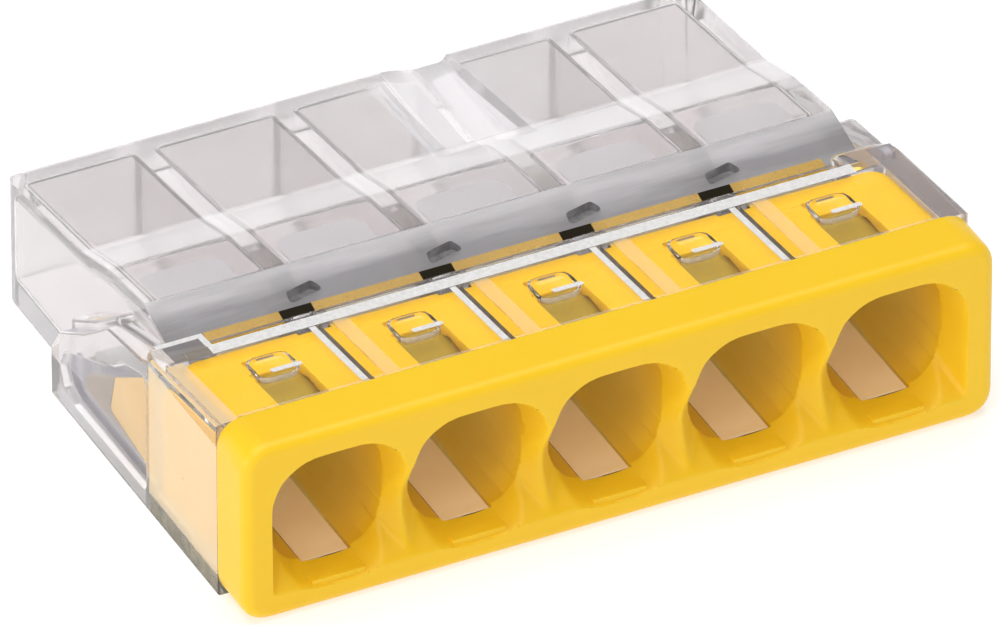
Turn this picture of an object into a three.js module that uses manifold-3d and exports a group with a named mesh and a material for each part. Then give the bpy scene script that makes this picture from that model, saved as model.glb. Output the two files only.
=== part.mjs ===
// A five-way push-in splicing connector: a clear housing that snaps over a yellow wire-entry
// insert and holds a tinned busbar with one leaf spring for each wire.
// Millimetres, +Z up. The wires go in from the front, along +Y. The origin is the centre of the base.
import * as THREE from "three";
import { mergeVertices } from "three/addons/utils/BufferGeometryUtils.js";
import Module from "manifold-3d";

const wasm = await Module();
wasm.setup();

// ---- driving dimensions ----
const WIDTH = 21.8;
const DEPTH = 16.5;
const HEIGHT = 5.5;
const POLES = 5;
const INNER_WALLS = [1, 2, 3, 4]; // the wall after each of these poles parts it from the next
const PITCH = 4.066;
const GAP = 0.05; // clearance between fixed pieces
const OVER = 1; // how far a cutting tool reaches past the face that it cuts

// front flange of the insert
const FLANGE_DEPTH = 1.6;
const FLANGE_CORNER = 0.8;
const FLANGE_BEVEL = 0.25;

// wire entries, as octagonal funnels
const ENTRY_Z = 2.65;
const MOUTH_FLATS = 4.5;
const PASSAGE_FLATS = 3.45;
const THROAT_FLATS = 2.3;
const FLARE_DEPTH = 0.65;
const PASSAGE_END = 3.6;
const THROAT_START = 5.3;
const OCTAGON_TURN = Math.PI / 8;
const END_WALL = 0.8; // the flange beside the first and last mouth
const MOUTH_BOTTOM = 0.75;
const MOUTH_TOP = 4.8;

// clear housing
const HOUSING_FRONT = FLANGE_DEPTH + GAP;
const FLOOR = 0.6;
const ROOF = 0.45; // wall over the insert
const REAR_ROOF = 0.6; // wall over the rear chambers
const SIDE_WALL = 0.5;
const WING_INNER = 0.9; // inner face of the thick side wall behind the insert's body
const WING_END = 11.74;
const WING_STEP = 1.4;
const WING_SETBACK = 0.4; // the thick side walls start this far before the end of the insert's body
const REAR_INSET = 0.86; // the rear compartment is narrower than the wings by this on each side
const REAR_CORNER = 0.7;
const REAR_WALL = 0.6;
const FRONT_TOP = 5.4;
const BAR_FRONT = 5.0;
const BAR_REAR = 5.45;
const BAR_TOP = 5.02;
const TROUGH_TOP = 4.6;
const TROUGH_END = 6.1;
const RELIEF_INSET = 1.85; // the open slot behind the bar stops this far from each side
const RELIEF_FRONT = 5.55;
const RELIEF_REAR = 6.05;
const RIDGE = [7.8, 5.1];
const ROOF_BREAK = [10.0, 4.8];
const ROOF_SHOULDER = [11.6, 4.35];
const REAR_TOP = 3.75;
const REAR_EDGE = [0.2, 0.3]; // bevel on the top rear edge, along Y and Z
const WING_SHOULDER = [8.4, 4.35];
const WING_FRONT = [6.2, 4.6];
const WING_RISE = 0.3; // how far the wings start above the trough
const WING_POCKET_DEPTH = 0.45;
const WING_POCKET = [
  [5.9, 1.05],
  [10.6, 0.8],
  [10.95, 1.1],
  [10.95, 1.75],
  [7.7, 3.5],
  [5.9, 4.2],
];
const END_BLOCK = 1.75; // at both ends the cover runs further back, over this width
const END_BLOCK_REAR = 6.2;
const CHAMBER_HALF = 1.78;
const OUTER_CHAMBER_SIDE = 1.25; // inner face of the rear compartment's end walls

// slots that part the front cover into one latch arm for each pole
const ARM_SLOT = 0.3;
const ARM_SLOT_OFFSET = -0.13;
const LUG_RADIUS = 0.55;
const LUG_CENTRE_Y = 3.75;
const LUG_DROP = 0.3;

// scoop for a test probe, over the rib between the third and fourth pole: its left side falls
// gently, its right side is steep, and its front end is a slope
const SCOOP_FLOOR = 3.43;
const SCOOP_LEFT = 11.5;
const SCOOP_LEFT_FOOT = 3.85; // the left side drops to here, then falls gently to the floor
const SCOOP_FLOOR_START = 12.87;
const SCOOP_FLOOR_END = 13.8;
const SCOOP_RIGHT = 14.12;
const SCOOP_FRONT = 12.25;
const SCOOP_FRONT_TOP = 10.9;
const SCOOP_WALL = 0.4;

// insert behind the flange
const BODY_END = 5.95;
const BODY_STEP_Z = 4.1;
const WINDOW_WIDTH = 1.45;
const WINDOW_START = FLANGE_DEPTH + GAP;
const WINDOW_END = 4.4;
const FLOOR_WINDOW_START = 0.9;
const FLOOR_WINDOW_END = 5.0;
const FLOOR_WINDOW_BOTTOM = 0.25; // the flange stays closed below the pads
const PAD_TOP = 0.9; // the housing's pads fill the windows in the insert's floor
const TUBE_GAP = 1.0; // the entries end in separate tubes, this far apart
const TUBE_START = 5.1;
const TRAY_END = 10.65;
const TRAY_TOP = 1.1;
const CHEEK = 0.3;
const CHEEK_PROFILE = [
  [BODY_END - WING_SETBACK, BODY_STEP_Z - 2 * GAP],
  [7.4, 3.0],
  [10.0, 1.5],
  [TRAY_END, TRAY_TOP],
];

// busbar
const BUSBAR_THICKNESS = 0.6;
const BUSBAR_FRONT = 6.7;
const BUSBAR_REAR = 10.5;
const BUSBAR_INSET = 1.4;
const BUSBAR_BOTTOM = TRAY_TOP + GAP;
const BUSBAR_TOP = BUSBAR_BOTTOM + BUSBAR_THICKNESS;
const RIDGE_RADIUS = 0.35;
const RIDGE_RISE = 0.14;
const RIDGE_Y = 9.3;

// leaf springs, one for each pole
const LEAF = 0.25;
const LEAF_WIDTH = 2.6;
const BEND_RADIUS = 0.45; // to the middle of the leaf
const PIVOT = [6.9, 3.5];
const HEEL_END = 9.9;
const HEEL_CORNER = 0.5;
const LEG_LENGTH = 3.1;
const LEG_SLOPE = THREE.MathUtils.degToRad(-15);
const TIP_LENGTH = 0.5;
const TIP_SLOPE = THREE.MathUtils.degToRad(-38);
const BEND_STEPS = 10;
const SPLIT = 0.12; // gap between the heel's bend and the moving leg

const ROUND_STEPS = 16;
const CORNER_STEPS = 6;

// ---- helpers ----
const X_AXIS = new THREE.Vector3(1, 0, 0);
const Y_AXIS = new THREE.Vector3(0, 1, 0);
const Z_AXIS = new THREE.Vector3(0, 0, 1);

function poleX(pole) {
  return WIDTH / 2 + (pole - (POLES + 1) / 2) * PITCH;
}

function wallX(pole) {
  return poleX(pole) + PITCH / 2;
}

// A closed geometry as a manifold-3d solid.
function solid(geometry) {
  const bare = geometry.clone();
  bare.deleteAttribute("normal");
  bare.deleteAttribute("uv");
  const merged = mergeVertices(bare, 1e-5);
  return new wasm.Manifold(
    new wasm.Mesh({
      numProp: 3,
      vertProperties: merged.attributes.position.array,
      triVerts: new Uint32Array(merged.index.array),
    }),
  );
}

function geometryOf(manifold) {
  const mesh = manifold.getMesh();
  const geometry = new THREE.BufferGeometry();
  geometry.setAttribute("position", new THREE.BufferAttribute(mesh.vertProperties, 3));
  geometry.setIndex(new THREE.BufferAttribute(mesh.triVerts, 1));
  geometry.computeVertexNormals();
  return geometry;
}

function box(x0, x1, y0, y1, z0, z1) {
  const geometry = new THREE.BoxGeometry(x1 - x0, y1 - y0, z1 - z0);
  geometry.translate((x0 + x1) / 2, (y0 + y1) / 2, (z0 + z1) / 2);
  return solid(geometry);
}

function outline(points) {
  return new THREE.Shape(points.map(([a, b]) => new THREE.Vector2(a, b)));
}

// An outline in (Y, Z), extruded from x0 to x1.
function prismX(points, x0, x1) {
  const options = { depth: x1 - x0, bevelEnabled: false };
  const geometry = new THREE.ExtrudeGeometry(outline(points), options);
  geometry.applyMatrix4(new THREE.Matrix4().makeBasis(Y_AXIS, Z_AXIS, X_AXIS));
  geometry.translate(x0, 0, 0);
  return solid(geometry);
}

// An outline in (X, Z), extruded from y0 to y1.
function prismY(points, y0, y1) {
  const options = { depth: y1 - y0, bevelEnabled: false };
  const geometry = new THREE.ExtrudeGeometry(outline(points), options);
  geometry.rotateX(Math.PI / 2);
  geometry.translate(0, y1, 0);
  return solid(geometry);
}

function column(shape, height) {
  const options = { depth: height, bevelEnabled: false, curveSegments: CORNER_STEPS };
  return solid(new THREE.ExtrudeGeometry(shape, options));
}

// A solid with its copy on the other side of the connector.
function bothSides(one) {
  return one.add(one.mirror([1, 0, 0]).translate([WIDTH, 0, 0]));
}

function roundedRectangle(a0, a1, b0, b1, radius) {
  const shape = new THREE.Shape();
  shape.absarc(a1 - radius, b0 + radius, radius, -Math.PI / 2, 0);
  shape.absarc(a1 - radius, b1 - radius, radius, 0, Math.PI / 2);
  shape.absarc(a0 + radius, b1 - radius, radius, Math.PI / 2, Math.PI);
  shape.absarc(a0 + radius, b0 + radius, radius, Math.PI, 1.5 * Math.PI);
  return shape;
}

// One stretch of a funnel along Y, with eight flat sides that face left, right, up and down.
function octagonStretch(x, y0, y1, flats0, flats1) {
  const toCorner = 1 / (2 * Math.cos(OCTAGON_TURN));
  const geometry = new THREE.CylinderGeometry(
    flats1 * toCorner, flats0 * toCorner, y1 - y0, 8, 1, false, OCTAGON_TURN,
  );
  geometry.translate(x, (y0 + y1) / 2, ENTRY_Z);
  return solid(geometry);
}

// A bent leaf of even thickness along a path of (Y, Z) points.
function leaf(path, x0, x1) {
  const upper = [];
  const lower = [];
  path.forEach(([y, z], i) => {
    const [yBefore, zBefore] = path[Math.max(i - 1, 0)];
    const [yAfter, zAfter] = path[Math.min(i + 1, path.length - 1)];
    const run = Math.hypot(yAfter - yBefore, zAfter - zBefore);
    const ny = (zAfter - zBefore) / run;
    const nz = -(yAfter - yBefore) / run;
    upper.push([y + (ny * LEAF) / 2, z + (nz * LEAF) / 2]);
    lower.unshift([y - (ny * LEAF) / 2, z - (nz * LEAF) / 2]);
  });
  return prismX([...upper, ...lower], x0, x1);
}

function eachPole(make) {
  return Array.from({ length: POLES }, (_, i) => make(i + 1));
}

function union(solids) {
  return solids.reduce((all, next) => all.add(next));
}

// ---- wire-entry insert ----
// Height of the clear cover's top over the insert, which falls towards the rear.
function coverZ(y) {
  const slope = (BAR_TOP - FRONT_TOP) / (BAR_FRONT - HOUSING_FRONT);
  return FRONT_TOP + slope * (y - HOUSING_FRONT);
}

function plateauZ(y) {
  return coverZ(y) - ROOF - GAP;
}

function flange() {
  const inset = FLANGE_BEVEL;
  const shape = roundedRectangle(inset, WIDTH - inset, inset, HEIGHT - inset, FLANGE_CORNER - inset);
  const geometry = new THREE.ExtrudeGeometry(shape, {
    depth: FLANGE_DEPTH - FLANGE_BEVEL,
    bevelThickness: FLANGE_BEVEL,
    bevelSize: FLANGE_BEVEL,
    bevelSegments: 3,
    curveSegments: CORNER_STEPS,
  });
  geometry.rotateX(Math.PI / 2);
  geometry.translate(0, FLANGE_DEPTH, 0);
  const behind = box(-OVER, WIDTH + OVER, FLANGE_DEPTH, FLANGE_DEPTH + OVER, -OVER, HEIGHT + OVER);
  return solid(geometry).subtract(behind);
}

function entryFunnel(pole) {
  const x = poleX(pole);
  const spread = (MOUTH_FLATS - PASSAGE_FLATS) / FLARE_DEPTH;
  const stretches = [
    octagonStretch(x, -OVER, FLARE_DEPTH, MOUTH_FLATS + spread * OVER, PASSAGE_FLATS),
    octagonStretch(x, FLARE_DEPTH - GAP, PASSAGE_END + GAP, PASSAGE_FLATS, PASSAGE_FLATS),
    octagonStretch(x, PASSAGE_END, THROAT_START, PASSAGE_FLATS, THROAT_FLATS),
    octagonStretch(x, THROAT_START - GAP, BODY_END + OVER, THROAT_FLATS, THROAT_FLATS),
  ];
  // the mouths stay inside the flange's end walls and above its bottom edge
  const mouthLimit = box(
    END_WALL, WIDTH - END_WALL, -OVER, BODY_END + 2 * OVER, MOUTH_BOTTOM, MOUTH_TOP,
  );
  return union(stretches).intersect(mouthLimit);
}

function insertWindows(pole) {
  const x0 = poleX(pole) - WINDOW_WIDTH / 2;
  const x1 = poleX(pole) + WINDOW_WIDTH / 2;
  const upper = box(x0, x1, WINDOW_START, WINDOW_END, ENTRY_Z, HEIGHT);
  const lower = box(x0, x1, FLOOR_WINDOW_START, FLOOR_WINDOW_END, FLOOR_WINDOW_BOTTOM, ENTRY_Z);
  return upper.add(lower);
}

function tubeGap(pole) {
  const x = wallX(pole);
  return box(x - TUBE_GAP / 2, x + TUBE_GAP / 2, TUBE_START, BODY_END + OVER, TRAY_TOP, HEIGHT);
}

function wireEntryInsert() {
  const side = SIDE_WALL + GAP;
  const base = FLOOR + GAP;
  const body = prismX(
    [
      [FLANGE_DEPTH - GAP, base],
      [BODY_END, base],
      [BODY_END, BODY_STEP_Z - GAP],
      [BAR_FRONT + GAP, BODY_STEP_Z - GAP],
      [BAR_FRONT, plateauZ(BAR_FRONT)],
      [FLANGE_DEPTH - GAP, plateauZ(FLANGE_DEPTH - GAP)],
    ],
    side,
    WIDTH - side,
  );
  // behind the front body the side walls step inwards, clear of the housing's thicker wall
  const narrow = WING_INNER + GAP;
  const steps = bothSides(box(0, narrow, BODY_END - WING_SETBACK, BODY_END + OVER, 0, HEIGHT));
  const tray = box(narrow, WIDTH - narrow, BODY_END - GAP, TRAY_END, base, TRAY_TOP);
  const cheekOutline = [[BODY_END - WING_SETBACK, base], ...CHEEK_PROFILE, [TRAY_END, base]].reverse();
  const cheeks = bothSides(prismX(cheekOutline, narrow, narrow + CHEEK));
  return body
    .subtract(steps)
    .add(union([flange(), tray, cheeks]))
    .subtract(union(eachPole(entryFunnel)))
    .subtract(union(eachPole(insertWindows)))
    .subtract(union(INNER_WALLS.map(tubeGap)));
}

// ---- clear housing ----
function housingOuter() {
  const wings = prismX(
    [
      [HOUSING_FRONT, 0],
      [WING_END, 0],
      [WING_END, WING_STEP],
      WING_SHOULDER,
      WING_FRONT,
      [BAR_REAR, TROUGH_TOP + WING_RISE],
      [BAR_FRONT, BAR_TOP],
      [HOUSING_FRONT, FRONT_TOP],
    ],
    0,
    WIDTH,
  );
  const centre = prismX(
    [
      [HOUSING_FRONT, 0],
      [DEPTH, 0],
      [DEPTH, REAR_TOP - REAR_EDGE[1]],
      [DEPTH - REAR_EDGE[0], REAR_TOP],
      ROOF_SHOULDER,
      ROOF_BREAK,
      RIDGE,
      [TROUGH_END, TROUGH_TOP],
      [BAR_REAR + GAP, TROUGH_TOP],
      [BAR_REAR, BAR_TOP],
      [BAR_FRONT, BAR_TOP],
      [HOUSING_FRONT, FRONT_TOP],
    ],
    REAR_INSET,
    WIDTH - REAR_INSET,
  );
  const plan = roundedRectangle(REAR_INSET, WIDTH - REAR_INSET, 0, DEPTH, REAR_CORNER);
  const endBlocks = bothSides(
    prismX(
      [
        [BAR_FRONT, 0],
        [END_BLOCK_REAR, 0],
        [END_BLOCK_REAR, coverZ(END_BLOCK_REAR)],
        [BAR_FRONT, coverZ(BAR_FRONT)],
      ],
      0,
      END_BLOCK,
    ),
  );
  const pockets = bothSides(prismX(WING_POCKET, -OVER, WING_POCKET_DEPTH));
  return union([wings, endBlocks, centre.intersect(column(plan, HEIGHT))]).subtract(pockets);
}

function insertPocket() {
  const body = prismX(
    [
      [HOUSING_FRONT - OVER, FLOOR],
      [BODY_END + GAP, FLOOR],
      [BODY_END + GAP, BODY_STEP_Z],
      [BAR_FRONT + 2 * GAP, BODY_STEP_Z],
      [BAR_FRONT + GAP, plateauZ(BAR_FRONT) + GAP],
      [HOUSING_FRONT - OVER, plateauZ(HOUSING_FRONT - OVER) + GAP],
    ],
    SIDE_WALL,
    WIDTH - SIDE_WALL,
  );
  const wallStart = BODY_END - WING_SETBACK + GAP;
  const thickWalls = bothSides(box(0, WING_INNER, wallStart, BODY_END + OVER, 0, HEIGHT));
  const tray = box(WING_INNER, WIDTH - WING_INNER, BODY_END, TRAY_END + 2 * GAP, FLOOR, BUSBAR_TOP + 2 * GAP);
  const room = 2 * GAP;
  const cheekRoom = [
    [BODY_END - WING_SETBACK, FLOOR],
    ...CHEEK_PROFILE.map(([y, z]) => [y + room, z + room]),
    [TRAY_END + room, FLOOR],
  ].reverse();
  const cheekRooms = bothSides(prismX(cheekRoom, WING_INNER, WING_INNER + CHEEK + room));
  return body.subtract(thickWalls).add(union([tray, cheekRooms]));
}

function chamber(pole) {
  const x = poleX(pole);
  const x0 = Math.max(x - CHAMBER_HALF, OUTER_CHAMBER_SIDE);
  const x1 = Math.min(x + CHAMBER_HALF, WIDTH - OUTER_CHAMBER_SIDE);
  const under = ([y, z]) => [y, z - REAR_ROOF];
  return prismX(
    [
      [BODY_END - GAP, FLOOR],
      [DEPTH - REAR_WALL, FLOOR],
      [DEPTH - REAR_WALL, REAR_TOP - REAR_ROOF],
      under(ROOF_SHOULDER),
      under(ROOF_BREAK),
      under(RIDGE),
      [BODY_END - GAP, BODY_STEP_Z - GAP],
    ],
    x0,
    x1,
  );
}

// The scoop's hollow, or with a margin the shell around it.
function scoop(margin) {
  const bottom = SCOOP_FLOOR - margin;
  const groove = prismY(
    [
      [SCOOP_LEFT - margin, HEIGHT],
      [SCOOP_LEFT - margin, SCOOP_LEFT_FOOT - margin],
      [SCOOP_FLOOR_START, bottom],
      [SCOOP_FLOOR_END, bottom],
      [SCOOP_RIGHT + margin, HEIGHT],
    ],
    0,
    DEPTH + OVER,
  );
  const length = prismX(
    [
      [SCOOP_FRONT - margin, 0],
      [DEPTH + 2 * OVER, 0],
      [DEPTH + 2 * OVER, HEIGHT],
      [SCOOP_FRONT_TOP - margin, HEIGHT],
      [SCOOP_FRONT - margin, bottom],
    ],
    0,
    WIDTH,
  );
  return groove.intersect(length);
}

function armSlot(pole) {
  const x = wallX(pole) + ARM_SLOT_OFFSET;
  const under = plateauZ(BAR_FRONT) - GAP;
  return box(x - ARM_SLOT / 2, x + ARM_SLOT / 2, HOUSING_FRONT - OVER, BAR_FRONT, under, HEIGHT);
}

function latchLug(pole) {
  const top = plateauZ(LUG_CENTRE_Y) + GAP + ROOF / 2;
  const bottom = plateauZ(LUG_CENTRE_Y) - LUG_DROP;
  const geometry = new THREE.CylinderGeometry(LUG_RADIUS, LUG_RADIUS, top - bottom, ROUND_STEPS);
  geometry.rotateX(Math.PI / 2);
  geometry.translate(poleX(pole), LUG_CENTRE_Y, (top + bottom) / 2);
  return solid(geometry);
}

// A pad on the housing's floor that fills the window in the insert's floor.
function floorPad(pole) {
  const half = WINDOW_WIDTH / 2 - GAP;
  const x = poleX(pole);
  const bottom = FLOOR_WINDOW_BOTTOM + GAP;
  return box(x - half, x + half, FLOOR_WINDOW_START + GAP, FLOOR_WINDOW_END - GAP, bottom, PAD_TOP);
}

function reliefSlot() {
  return box(RELIEF_INSET, WIDTH - RELIEF_INSET, RELIEF_FRONT, RELIEF_REAR, TRAY_TOP, HEIGHT);
}

function transparentHousing() {
  const outer = housingOuter();
  return outer
    .subtract(insertPocket())
    .subtract(union(eachPole(chamber)))
    .add(scoop(SCOOP_WALL).intersect(outer))
    .subtract(scoop(0))
    .subtract(union(INNER_WALLS.map(armSlot)))
    .subtract(reliefSlot())
    .add(union([...eachPole(latchLug), ...eachPole(floorPad)]));
}

// ---- busbar and springs ----
function busbar() {
  const plate = box(
    BUSBAR_INSET, WIDTH - BUSBAR_INSET, BUSBAR_FRONT, BUSBAR_REAR, BUSBAR_BOTTOM, BUSBAR_TOP,
  );
  const ridges = eachPole((pole) => {
    const geometry = new THREE.CylinderGeometry(RIDGE_RADIUS, RIDGE_RADIUS, LEAF_WIDTH, ROUND_STEPS);
    geometry.rotateZ(Math.PI / 2);
    geometry.translate(poleX(pole), RIDGE_Y, BUSBAR_TOP + RIDGE_RISE - RIDGE_RADIUS);
    return solid(geometry);
  });
  const below = box(0, WIDTH, 0, DEPTH, -OVER, BUSBAR_BOTTOM);
  return plate.add(union(ridges)).subtract(below);
}

// The fixed part of a spring: the heel under the roof and the bend, down to where the leg starts.
function springHeel(pole) {
  const [y, z] = PIVOT;
  const path = [[HEEL_END, z + BEND_RADIUS]];
  const turnEnd = 1.5 * Math.PI + LEG_SLOPE - SPLIT / BEND_RADIUS;
  for (let i = 0; i <= BEND_STEPS; i += 1) {
    const turn = Math.PI / 2 + ((turnEnd - Math.PI / 2) * i) / BEND_STEPS;
    path.push([y + BEND_RADIUS * Math.cos(turn), z + BEND_RADIUS * Math.sin(turn)]);
  }
  const x0 = poleX(pole) - LEAF_WIDTH / 2;
  const x1 = poleX(pole) + LEAF_WIDTH / 2;
  const plan = roundedRectangle(x0, x1, BODY_STEP_Z, HEEL_END, HEEL_CORNER);
  return leaf(path.reverse(), x0, x1).intersect(column(plan, HEIGHT));
}

// The moving part of a spring: the clamping leg, with its tip bent down to bite the wire.
function springLeg(pole) {
  const [y, z] = PIVOT;
  const startY = y + BEND_RADIUS * Math.sin(LEG_SLOPE);
  const startZ = z - BEND_RADIUS * Math.cos(LEG_SLOPE);
  const kneeY = startY + LEG_LENGTH * Math.cos(LEG_SLOPE);
  const kneeZ = startZ + LEG_LENGTH * Math.sin(LEG_SLOPE);
  const tip = [kneeY + TIP_LENGTH * Math.cos(TIP_SLOPE), kneeZ + TIP_LENGTH * Math.sin(TIP_SLOPE)];
  const path = [[startY, startZ], [kneeY, kneeZ], tip];
  return leaf(path, poleX(pole) - LEAF_WIDTH / 2, poleX(pole) + LEAF_WIDTH / 2);
}

// ---- materials and scene ----
const clearPlastic = { color: 0xd8d4da, roughness: 0.08, metalness: 0, transparent: true, opacity: 0.35 };
const yellowPlastic = { color: 0xf9c82d, roughness: 0.38, metalness: 0 };
const tinnedCopper = { color: 0xcfc9c0, roughness: 0.3, metalness: 1 };
const springSteel = { color: 0xb9bcc0, roughness: 0.25, metalness: 1 };

function part(name, manifold, look) {
  const mesh = new THREE.Mesh(geometryOf(manifold), new THREE.MeshStandardMaterial(look));
  mesh.name = name;
  return mesh;
}

const connector = new THREE.Group();
connector.position.set(-WIDTH / 2, -DEPTH / 2, 0);
connector.add(part("transparent_housing", transparentHousing(), clearPlastic));
connector.add(part("wire_entry_insert", wireEntryInsert(), yellowPlastic));
connector.add(part("busbar", busbar(), tinnedCopper));
eachPole((pole) => connector.add(part(`spring_heel_${pole}`, springHeel(pole), springSteel)));
eachPole((pole) => connector.add(part(`spring_leg_${pole}`, springLeg(pole), springSteel)));

export default connector;
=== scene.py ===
import math

import bmesh
import bpy
import numpy as np
from mathutils import Matrix, Vector


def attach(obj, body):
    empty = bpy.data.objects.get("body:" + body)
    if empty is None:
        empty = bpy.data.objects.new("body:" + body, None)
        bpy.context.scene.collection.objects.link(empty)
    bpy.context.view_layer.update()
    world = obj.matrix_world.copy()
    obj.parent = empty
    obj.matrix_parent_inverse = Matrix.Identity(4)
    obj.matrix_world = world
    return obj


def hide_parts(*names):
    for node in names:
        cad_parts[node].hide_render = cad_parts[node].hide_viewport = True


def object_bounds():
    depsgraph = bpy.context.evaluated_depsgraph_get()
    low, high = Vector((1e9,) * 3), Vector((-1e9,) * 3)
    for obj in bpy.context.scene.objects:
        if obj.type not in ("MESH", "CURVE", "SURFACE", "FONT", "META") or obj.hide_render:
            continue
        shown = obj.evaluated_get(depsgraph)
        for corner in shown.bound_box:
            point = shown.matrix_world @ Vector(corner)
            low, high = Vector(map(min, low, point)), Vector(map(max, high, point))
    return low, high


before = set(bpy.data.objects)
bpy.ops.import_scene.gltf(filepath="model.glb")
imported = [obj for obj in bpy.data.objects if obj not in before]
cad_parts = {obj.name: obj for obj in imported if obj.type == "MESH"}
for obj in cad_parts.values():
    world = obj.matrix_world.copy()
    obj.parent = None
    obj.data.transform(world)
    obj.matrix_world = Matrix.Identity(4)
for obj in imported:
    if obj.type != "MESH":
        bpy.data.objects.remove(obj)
cad_low, cad_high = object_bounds()

# Lengths below are millimetres from the front-left-bottom corner of the object: x to the right,
# y to the rear, z up. to_frame turns them into the frame's metres.
MM = 0.001
to_frame = Matrix.Translation(cad_low) @ Matrix.Scale(MM, 4)

WIDTH = (cad_high.x - cad_low.x) / MM
DEPTH = (cad_high.y - cad_low.y) / MM
HEIGHT = (cad_high.z - cad_low.z) / MM
BODY = "connector"
POLES = range(1, 6)
PITCH = 4.066
INNER_WALLS = range(1, 5)
GAP = 0.05  # between the housing and the insert
OVER = 1.0  # how far a cutting tool runs past what it cuts


def pole_x(pole):
    return WIDTH / 2 + (pole - 3) * PITCH


def wall_x(pole):
    return pole_x(pole) + PITCH / 2


# ---- mesh helpers ----
def add_object(name, mesh):
    made = bpy.data.objects.new(name, mesh)
    bpy.context.scene.collection.objects.link(made)
    return made


def from_bmesh(name, bm):
    bmesh.ops.recalc_face_normals(bm, faces=bm.faces)
    mesh = bpy.data.meshes.new(name)
    bm.to_mesh(mesh)
    bm.free()
    return add_object(name, mesh)


def rounded(points, radius, steps=4):
    """The outline with each corner replaced by an arc. radius is one number or one for each corner."""
    made = []
    count = len(points)
    for i, corner in enumerate(points):
        r = radius[i] if isinstance(radius, (list, tuple)) else radius
        corner = Vector(corner)
        before = Vector(points[i - 1]) - corner
        after = Vector(points[(i + 1) % count]) - corner
        angle = before.angle(after)
        reach = r / math.tan(angle / 2) if r else 0
        reach = min(reach, before.length * 0.48, after.length * 0.48)
        if reach < 1e-4 or angle > math.radians(176):
            made.append(tuple(corner))
            continue
        start = corner + before.normalized() * reach
        end = corner + after.normalized() * reach
        for step in range(steps + 1):
            t = step / steps
            point = start * (1 - t) ** 2 + corner * 2 * t * (1 - t) + end * t * t
            made.append(tuple(point))
    return made


PLACES = {
    "x": lambda a, b, c: (c, a, b),
    "y": lambda a, b, c: (a, c, b),
    "z": lambda a, b, c: (a, b, c),
}


def prism(axis, outline, low, high, cap=0.0, steps=3, cap_ends=(True, True)):
    """An outline extruded along an axis. cap is the radius of its end edges."""
    place = PLACES[axis]
    bm = bmesh.new()
    ends = [[bm.verts.new(place(a, b, c)) for a, b in outline] for c in (low, high)]
    count = len(outline)
    for i in range(count):
        j = (i + 1) % count
        bm.faces.new((ends[0][i], ends[0][j], ends[1][j], ends[1][i]))
    caps = [bm.faces.new(end) for end in ends]
    bmesh.ops.recalc_face_normals(bm, faces=bm.faces)
    if cap:
        edges = [e for face, use in zip(caps, cap_ends) if use for e in face.edges]
        bmesh.ops.bevel(
            bm, geom=edges, offset=cap, segments=steps, profile=0.5, affect="EDGES", clamp_overlap=True,
        )
    return from_bmesh("tool", bm)


def block(x0, x1, y0, y1, z0, z1, radius=0.0, steps=3):
    """A box with all its edges rounded."""
    outline = [(x0, y0), (x1, y0), (x1, y1), (x0, y1)]
    return prism("z", rounded(outline, radius, steps) if radius else outline, z0, z1, radius, steps)


def loft(sections):
    """Rings of points of equal length, joined in order and closed at both ends."""
    bm = bmesh.new()
    rings = [[bm.verts.new(p) for p in ring] for ring in sections]
    count = len(rings[0])
    for near, far in zip(rings, rings[1:]):
        for i in range(count):
            j = (i + 1) % count
            bm.faces.new((near[i], near[j], far[j], far[i]))
    bm.faces.new(rings[0])
    bm.faces.new(rings[-1])
    return from_bmesh("tool", bm)


def height_solid(xs, zs, depths, front):
    """A closed solid between the plane y = front and the surface y = depths[i][j] over a grid."""
    bm = bmesh.new()
    back = [[bm.verts.new((x, depths[i][j], z)) for j, z in enumerate(zs)] for i, x in enumerate(xs)]
    for near, far in zip(back, back[1:]):
        for a, b, c, d in zip(near, far, far[1:], near[1:]):
            bm.faces.new((a, b, c, d))
    rim = [row[0] for row in back] + back[-1][1:] + [row[-1] for row in back[-2::-1]] + back[0][-2:0:-1]
    base = [bm.verts.new((v.co.x, front, v.co.z)) for v in rim]
    for i in range(len(rim)):
        bm.faces.new((rim[i - 1], rim[i], base[i], base[i - 1]))
    bm.faces.new(base)
    return from_bmesh("tool", bm)


def mirrored(make):
    """Makes the same solid on the left and, mirrored, on the right of the connector."""
    left = make()
    right = make()
    right.data.transform(Matrix.Translation((WIDTH, 0, 0)) @ Matrix.Scale(-1, 4, (1, 0, 0)))
    right.data.flip_normals()
    return [left, right]


def soften(obj, width, segments=2, angle=38):
    """Rounds the sharp edges."""
    bevel = obj.modifiers.new("edges", "BEVEL")
    bevel.width = width
    bevel.segments = segments
    bevel.limit_method = "ANGLE"
    bevel.angle_limit = math.radians(angle)
    bake(obj)
    return obj


def bake(obj):
    """Applies an object's modifiers to its mesh."""
    depsgraph = bpy.context.evaluated_depsgraph_get()
    mesh = bpy.data.meshes.new_from_object(obj.evaluated_get(depsgraph))
    obj.modifiers.clear()
    obj.data = mesh


def combine(base, tools, operation):
    for tool in tools:
        modifier = base.modifiers.new("combine", "BOOLEAN")
        modifier.operation = operation
        modifier.solver = "MANIFOLD"
        modifier.object = tool
        bake(base)
        bpy.data.objects.remove(tool)
    return base


def join(base, tools):
    return combine(base, tools, "UNION")


def cut(base, tools):
    return combine(base, tools, "DIFFERENCE")


def keep(base, tool):
    return combine(base, [tool], "INTERSECT")


def finish_piece(obj, name, nodes, smooth=32):
    """Places a piece in the frame and smooths its shading."""
    obj.name = name
    obj.data.name = name
    obj.data.transform(to_frame)
    obj.data.shade_smooth()
    obj.data.set_sharp_from_angle(angle=math.radians(smooth))
    obj.modifiers.new("normals", "WEIGHTED_NORMAL").keep_sharp = True
    bake(obj)
    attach(obj, BODY)
    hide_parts(*nodes)
    return obj


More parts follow.
